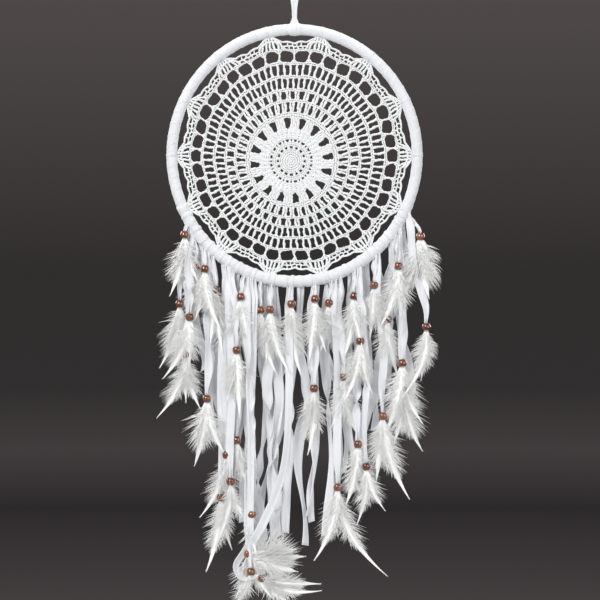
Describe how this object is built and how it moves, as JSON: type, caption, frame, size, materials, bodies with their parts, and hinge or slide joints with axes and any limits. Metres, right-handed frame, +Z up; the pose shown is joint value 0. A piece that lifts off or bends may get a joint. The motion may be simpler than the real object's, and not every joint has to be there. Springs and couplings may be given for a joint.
{
  "type": "dream catcher",
  "caption": "Hanging ornament: a cloth-wrapped hoop round a crocheted doily, on a hanging loop, with a fringe of cloth strips, wooden beads and feathers.",
  "frame": {"origin": "the inner top of the hanging loop, where a nail or hook carries the part", "axes": "+Z up, the front of the doily towards -Y, +X to the right seen from the front"},
  "size_m": [0.2608, 0.0252, 0.6255],
  "materials": {
    "white_cloth": "matt woven cotton strip, cool white",
    "crochet_cotton": "matt crocheted cotton yarn, white",
    "bent_cane": "bare bent cane, hidden under the wrap",
    "brown_wood": "stained and varnished reddish brown wood",
    "white_down": "soft creamy white feather"
  },
  "bodies": {
    "hanger": {"hanging_loop": "white_cloth"},
    "hoop": {"loop_tie": "white_cloth", "hoop_core": "bent_cane", "hoop_wrap": "white_cloth", "crochet_doily": "crochet_cotton"},
    "beaded_strand_01": {"beaded_strip_01": "white_cloth", "bead_01": "brown_wood", "feather_01": "white_down"},
    "beaded_strand_02": {"beaded_strip_02": "white_cloth", "bead_02": "brown_wood", "feather_02": "white_down"},
    "beaded_strand_03": {"beaded_strip_03": "white_cloth", "bead_03": "brown_wood", "feather_03": "white_down"},
    "beaded_strand_04": {"beaded_strip_04": "white_cloth", "bead_04": "brown_wood", "feather_04": "white_down"},
    "beaded_strand_05": {"beaded_strip_05": "white_cloth", "bead_05": "brown_wood", "feather_05": "white_down"},
    "beaded_strand_06": {"beaded_strip_06": "white_cloth", "bead_06": "brown_wood", "feather_06": "white_down"},
    "beaded_strand_07": {"beaded_strip_07": "white_cloth", "bead_07": "brown_wood", "feather_07": "white_down"},
    "beaded_strand_08": {"beaded_strip_08": "white_cloth", "bead_08": "brown_wood", "feather_08": "white_down"},
    "beaded_strand_09": {"beaded_strip_09": "white_cloth", "bead_09": "brown_wood", "feather_09": "white_down"},
    "beaded_strand_10": {"beaded_strip_10": "white_cloth", "bead_10": "brown_wood", "feather_10": "white_down"},
    "beaded_strand_11": {"beaded_strip_11": "white_cloth", "bead_11": "brown_wood", "feather_11": "white_down"},
    "beaded_strand_12": {"beaded_strip_12": "white_cloth", "bead_12": "brown_wood", "feather_12": "white_down"},
    "plain_strand_01": {"plain_strip_01": "white_cloth"},
    "plain_strand_02": {"plain_strip_02": "white_cloth"},
    "plain_strand_03": {"plain_strip_03": "white_cloth"},
    "plain_strand_04": {"plain_strip_04": "white_cloth"},
    "plain_strand_05": {"plain_strip_05": "white_cloth"},
    "plain_strand_06": {"plain_strip_06": "white_cloth"},
    "plain_strand_07": {"plain_strip_07": "white_cloth"},
    "plain_strand_08": {"plain_strip_08": "white_cloth"},
    "plain_strand_09": {"plain_strip_09": "white_cloth"},
    "plain_strand_10": {"plain_strip_10": "white_cloth"},
    "plain_strand_11": {"plain_strip_11": "white_cloth"},
    "plain_strand_12": {"plain_strip_12": "white_cloth"},
    "plain_strand_13": {"plain_strip_13": "white_cloth"},
    "plain_strand_14": {"plain_strip_14": "white_cloth"},
    "plain_strand_15": {"plain_strip_15": "white_cloth"},
    "plain_strand_16": {"plain_strip_16": "white_cloth"},
    "plain_strand_17": {"plain_strip_17": "white_cloth"},
    "plain_strand_18": {"plain_strip_18": "white_cloth"}
  },
  "joints": [
    {"name": "hoop_turn", "type": "hinge", "parent": "hanger", "child": "hoop", "pos_m": [0, 0, -0.04919], "axis": [0, 0, 1], "range_deg": [-60, 60]},
    {"name": "beaded_strand_01_swing", "type": "hinge", "parent": "hoop", "child": "beaded_strand_01", "pos_m": [-0.10605, -0.005, -0.25445], "axis": [1, 0, 0], "range_deg": [-45, 0]},
    {"name": "beaded_strand_02_swing", "type": "hinge", "parent": "hoop", "child": "beaded_strand_02", "pos_m": [-0.08758, -0.005, -0.2769], "axis": [1, 0, 0], "range_deg": [-45, 0]},
    {"name": "beaded_strand_03_swing", "type": "hinge", "parent": "hoop", "child": "beaded_strand_03", "pos_m": [-0.06727, -0.005, -0.29283], "axis": [1, 0, 0], "range_deg": [-45, 0]},
    {"name": "beaded_strand_04_swing", "type": "hinge", "parent": "hoop", "child": "beaded_strand_04", "pos_m": [-0.04563, -0.005, -0.30365], "axis": [1, 0, 0], "range_deg": [-45, 0]},
    {"name": "beaded_strand_05_swing", "type": "hinge", "parent": "hoop", "child": "beaded_strand_05", "pos_m": [-0.02376, -0.005, -0.30977], "axis": [1, 0, 0], "range_deg": [-45, 0]},
    {"name": "beaded_strand_06_swing", "type": "hinge", "parent": "hoop", "child": "beaded_strand_06", "pos_m": [-0.00304, -0.005, -0.31172], "axis": [1, 0, 0], "range_deg": [-45, 0]},
    {"name": "beaded_strand_07_swing", "type": "hinge", "parent": "hoop", "child": "beaded_strand_07", "pos_m": [0.01883, -0.005, -0.31056], "axis": [1, 0, 0], "range_deg": [-45, 0]},
    {"name": "beaded_strand_08_swing", "type": "hinge", "parent": "hoop", "child": "beaded_strand_08", "pos_m": [0.04156, -0.005, -0.30513], "axis": [1, 0, 0], "range_deg": [-45, 0]},
    {"name": "beaded_strand_09_swing", "type": "hinge", "parent": "hoop", "child": "beaded_strand_09", "pos_m": [0.06338, -0.005, -0.29518], "axis": [1, 0, 0], "range_deg": [-45, 0]},
    {"name": "beaded_strand_10_swing", "type": "hinge", "parent": "hoop", "child": "beaded_strand_10", "pos_m": [0.08523, -0.005, -0.27911], "axis": [1, 0, 0], "range_deg": [-45, 0]},
    {"name": "beaded_strand_11_swing", "type": "hinge", "parent": "hoop", "child": "beaded_strand_11", "pos_m": [0.10501, -0.005, -0.25603], "axis": [1, 0, 0], "range_deg": [-45, 0]},
    {"name": "beaded_strand_12_swing", "type": "hinge", "parent": "hoop", "child": "beaded_strand_12", "pos_m": [0.11375, -0.005, -0.24084], "axis": [1, 0, 0], "range_deg": [-45, 0]},
    {"name": "plain_strand_01_swing", "type": "hinge", "parent": "hoop", "child": "plain_strand_01", "pos_m": [-0.10862, 0.00493, -0.25064], "axis": [1, 0, 0], "range_deg": [0, 45]},
    {"name": "plain_strand_02_swing", "type": "hinge", "parent": "hoop", "child": "plain_strand_02", "pos_m": [-0.09579, 0.00493, -0.26845], "axis": [1, 0, 0], "range_deg": [0, 45]},
    {"name": "plain_strand_03_swing", "type": "hinge", "parent": "hoop", "child": "plain_strand_03", "pos_m": [-0.08294, 0.00493, -0.28138], "axis": [1, 0, 0], "range_deg": [0, 45]},
    {"name": "plain_strand_04_swing", "type": "hinge", "parent": "hoop", "child": "plain_strand_04", "pos_m": [-0.07008, 0.00493, -0.29121], "axis": [1, 0, 0], "range_deg": [0, 45]},
    {"name": "plain_strand_05_swing", "type": "hinge", "parent": "hoop", "child": "plain_strand_05", "pos_m": [-0.05738, 0.00493, -0.29863], "axis": [1, 0, 0], "range_deg": [0, 45]},
    {"name": "plain_strand_06_swing", "type": "hinge", "parent": "hoop", "child": "plain_strand_06", "pos_m": [-0.04448, 0.00493, -0.30427], "axis": [1, 0, 0], "range_deg": [0, 45]},
    {"name": "plain_strand_07_swing", "type": "hinge", "parent": "hoop", "child": "plain_strand_07", "pos_m": [-0.03164, 0.00493, -0.30824], "axis": [1, 0, 0], "range_deg": [0, 45]},
    {"name": "plain_strand_08_swing", "type": "hinge", "parent": "hoop", "child": "plain_strand_08", "pos_m": [-0.01886, 0.00493, -0.31073], "axis": [1, 0, 0], "range_deg": [0, 45]},
    {"name": "plain_strand_09_swing", "type": "hinge", "parent": "hoop", "child": "plain_strand_09", "pos_m": [-0.00587, 0.00493, -0.31184], "axis": [1, 0, 0], "range_deg": [0, 45]},
    {"name": "plain_strand_10_swing", "type": "hinge", "parent": "hoop", "child": "plain_strand_10", "pos_m": [0.00696, 0.00493, -0.3118], "axis": [1, 0, 0], "range_deg": [0, 45]},
    {"name": "plain_strand_11_swing", "type": "hinge", "parent": "hoop", "child": "plain_strand_11", "pos_m": [0.01972, 0.00493, -0.31061], "axis": [1, 0, 0], "range_deg": [0, 45]},
    {"name": "plain_strand_12_swing", "type": "hinge", "parent": "hoop", "child": "plain_strand_12", "pos_m": [0.03269, 0.00493, -0.30797], "axis": [1, 0, 0], "range_deg": [0, 45]},
    {"name": "plain_strand_13_swing", "type": "hinge", "parent": "hoop", "child": "plain_strand_13", "pos_m": [0.04549, 0.00493, -0.30389], "axis": [1, 0, 0], "range_deg": [0, 45]},
    {"name": "plain_strand_14_swing", "type": "hinge", "parent": "hoop", "child": "plain_strand_14", "pos_m": [0.05834, 0.00493, -0.29813], "axis": [1, 0, 0], "range_deg": [0, 45]},
    {"name": "plain_strand_15_swing", "type": "hinge", "parent": "hoop", "child": "plain_strand_15", "pos_m": [0.07115, 0.00493, -0.29048], "axis": [1, 0, 0], "range_deg": [0, 45]},
    {"name": "plain_strand_16_swing", "type": "hinge", "parent": "hoop", "child": "plain_strand_16", "pos_m": [0.08391, 0.00493, -0.28053], "axis": [1, 0, 0], "range_deg": [0, 45]},
    {"name": "plain_strand_17_swing", "type": "hinge", "parent": "hoop", "child": "plain_strand_17", "pos_m": [0.09675, 0.00493, -0.26731], "axis": [1, 0, 0], "range_deg": [0, 45]},
    {"name": "plain_strand_18_swing", "type": "hinge", "parent": "hoop", "child": "plain_strand_18", "pos_m": [0.10967, 0.00493, -0.24885], "axis": [1, 0, 0], "range_deg": [0, 45]}
  ]
}
